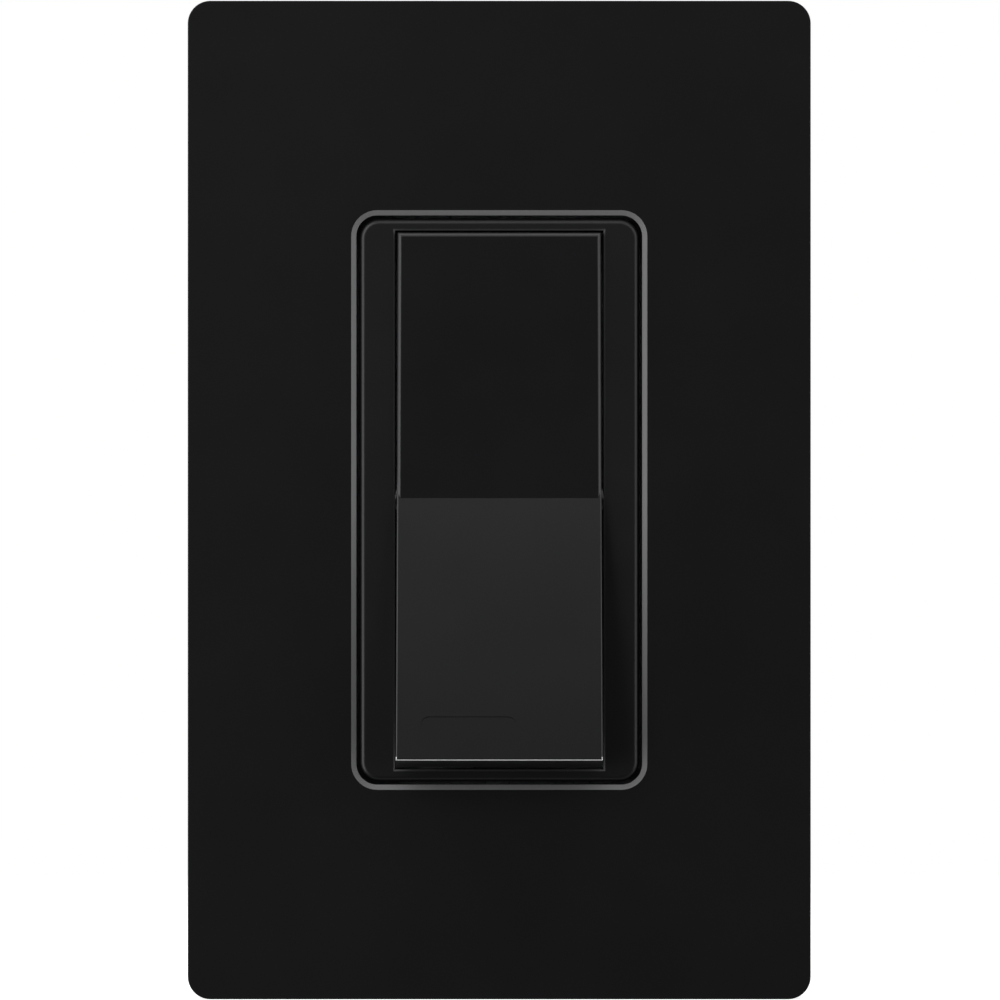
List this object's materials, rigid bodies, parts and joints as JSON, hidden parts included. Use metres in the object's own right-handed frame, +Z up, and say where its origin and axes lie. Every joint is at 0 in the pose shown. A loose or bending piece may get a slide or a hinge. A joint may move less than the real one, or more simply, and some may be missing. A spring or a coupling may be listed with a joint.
{
  "type": "rocker wall switch",
  "caption": "Decorator-style rocker wall switch with a screwless clip-on cover plate, steel mounting strap, back case and side-wired terminals, switched on.",
  "frame": {"origin": "middle of the cover plate, on the wall's surface", "axes": "+Z up, +X to the right seen from the room, +Y into the wall; the rocker faces -Y"},
  "size_m": [0.0746, 0.0419, 0.1194],
  "materials": {
    "cover_black": "satin black, very fine moulded texture",
    "bezel_black": "semi-gloss black",
    "rocker_black": "semi-gloss black",
    "adapter_black": "matte black",
    "zinc_steel": "bright zinc plate",
    "black_screw": "black painted",
    "bumper_rubber": "soft black",
    "pin_steel": "ground steel",
    "plunger_nylon": "natural nylon",
    "spring_steel": "spring steel",
    "copper": "bright copper alloy",
    "silver": "silver alloy",
    "brass": "bright brass",
    "fibre": "red-brown vulcanised fibre",
    "case_black": "matte black thermoset",
    "ground_green": "green dyed zinc plate"
  },
  "bodies": {
    "body": {"faceplate": "cover_black", "adapter_plate": "adapter_black", "adapter_screws": "black_screw", "strap": "zinc_steel", "bumpers": "bumper_rubber", "bezel": "bezel_black", "pivot_pin": "pin_steel", "fixed_contact": "silver", "load_terminal": "brass", "line_terminal": "brass", "terminal_screws": "brass", "push_in_clips": "spring_steel", "off_stop": "fibre", "mechanism_cover": "fibre", "back_case": "case_black", "assembly_screws": "zinc_steel", "box_screws": "zinc_steel", "screw_retainers": "fibre", "ground_screw": "ground_green"},
    "rocker": {"rocker": "rocker_black", "plunger_spring": "spring_steel"},
    "plunger": {"plunger": "plunger_nylon"},
    "contact_arm": {"contact_arm": "copper", "moving_contact": "silver"}
  },
  "joints": [
    {"name": "rocker_hinge", "type": "hinge", "parent": "body", "child": "rocker", "pos_m": [0, -0.00611, 0], "axis": [1, 0, 0], "range_deg": [0, 11]},
    {"name": "contact_arm_tip", "type": "hinge", "parent": "body", "child": "contact_arm", "pos_m": [0, 0.01363, 0], "axis": [1, 0, 0], "range_deg": [-10, 0]},
    {"name": "plunger_slide", "type": "slide", "parent": "rocker", "child": "plunger", "axis": [0, -0.9954, 0.0958], "range_m": [0, 0.0003], "stiffness_N_per_m": 300, "deforming": ["plunger_spring"]}
  ],
  "couplings": [
    {"joint": "contact_arm_tip", "follows": "rocker_hinge", "ratio": -0.90909}
  ]
}
